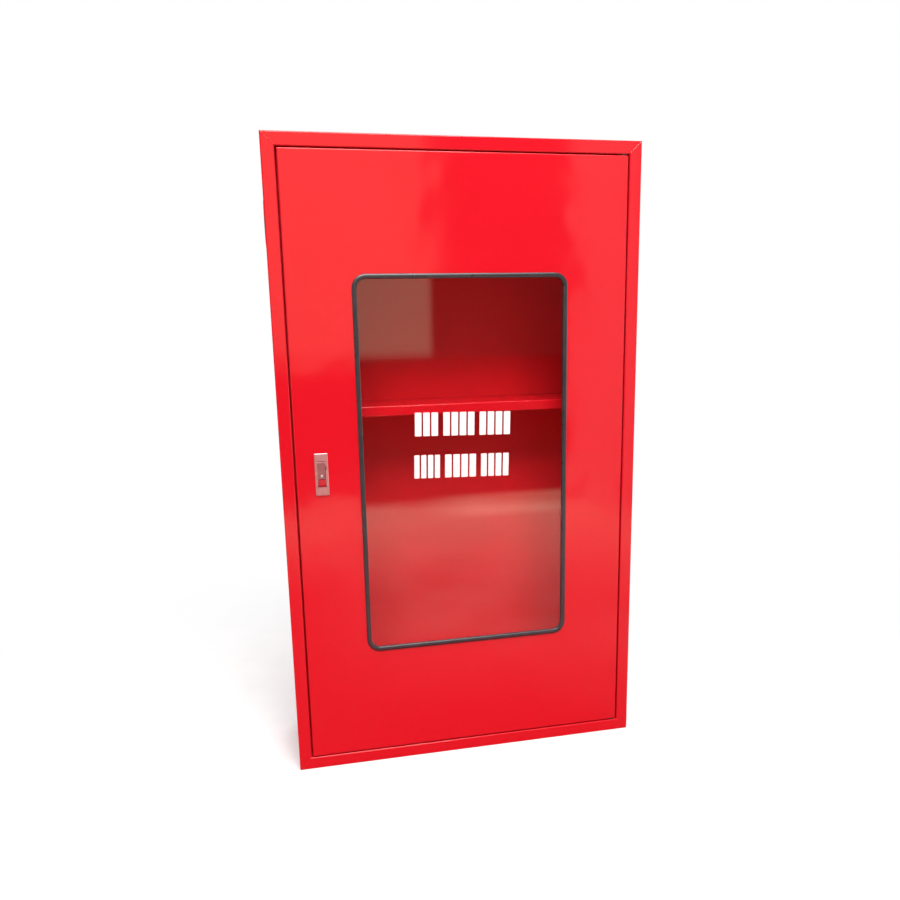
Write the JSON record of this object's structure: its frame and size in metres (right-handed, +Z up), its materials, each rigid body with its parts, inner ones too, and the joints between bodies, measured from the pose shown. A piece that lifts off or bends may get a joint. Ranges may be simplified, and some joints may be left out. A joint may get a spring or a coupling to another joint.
{
  "type": "standpipe cabinet",
  "caption": "Recessed-flange steel wall cabinet for a fire standpipe and hose, with a flush glazed door, one shelf and a flush paddle latch.",
  "frame": {"origin": "middle of the foot of the whole object's box, the pipe grommets and the gasket crown included", "axes": "+Z up, +X to the right of someone facing the door, -Y out of the door towards that person"},
  "size_m": [0.704, 0.203, 1.2],
  "materials": {
    "red_paint": "gloss powder coat",
    "black_rubber": "extruded rubber",
    "clear_glass": "clear float glass",
    "white_vinyl": "cut vinyl",
    "satin_nickel": "satin plated die casting",
    "bright_chrome": "polished",
    "red_button": "moulded",
    "zinc_steel": "zinc plated",
    "black_nylon": "moulded"
  },
  "bodies": {
    "cabinet": {"back_panel": "red_paint", "bottom_panel": "red_paint", "door_bumpers": "black_rubber", "frame_pivot_plates": "red_paint", "left_side_panel": "red_paint", "lower_pivot_pin": "zinc_steel", "pipe_grommets": "black_rubber", "pivot_washers": "black_nylon", "right_side_panel": "red_paint", "shelf": "red_paint", "shelf_bearer_left": "red_paint", "shelf_bearer_right": "red_paint", "shelf_screws": "zinc_steel", "top_panel": "red_paint", "upper_pivot_pin": "zinc_steel"},
    "door": {"door_skin": "red_paint", "door_stiffener_left": "red_paint", "door_stiffener_right": "red_paint", "door_pivot_plates": "red_paint", "window_gasket": "black_rubber", "window_glass": "clear_glass", "window_marking": "white_vinyl", "latch_housing": "satin_nickel", "latch_lever_pin": "zinc_steel", "latch_cover": "zinc_steel", "latch_clamps": "zinc_steel", "latch_screws": "zinc_steel", "button_spring": "zinc_steel", "bolt_spring": "zinc_steel"},
    "lever": {"latch_lever": "satin_nickel", "lever_rivet": "bright_chrome"},
    "button": {"latch_button": "red_button"},
    "bolt": {"latch_bolt": "zinc_steel"}
  },
  "joints": [
    {"name": "door_swing", "type": "hinge", "parent": "cabinet", "child": "door", "pos_m": [0.315, -0.0905, 0.6], "axis": [0, 0, 1], "range_deg": [0, 105]},
    {"name": "lever_pull", "type": "hinge", "parent": "door", "child": "lever", "pos_m": [-0.276, -0.0983, 0.6206], "axis": [-1, 0, 0], "range_deg": [0, 30], "stiffness_Nm_per_rad": 0.15, "springref_deg": -17.19},
    {"name": "button_press", "type": "slide", "parent": "door", "child": "button", "axis": [0, 1, 0], "range_m": [0, 0.0025], "stiffness_N_per_m": 200, "springref_m": -0.002, "deforming": ["button_spring"]},
    {"name": "bolt_slide", "type": "slide", "parent": "door", "child": "bolt", "axis": [1, 0, 0], "range_m": [0, 0.0091], "deforming": ["bolt_spring"]}
  ],
  "couplings": [
    {"joint": "bolt_slide", "follows": "lever_pull", "m_per_rad": 0.017189}
  ]
}
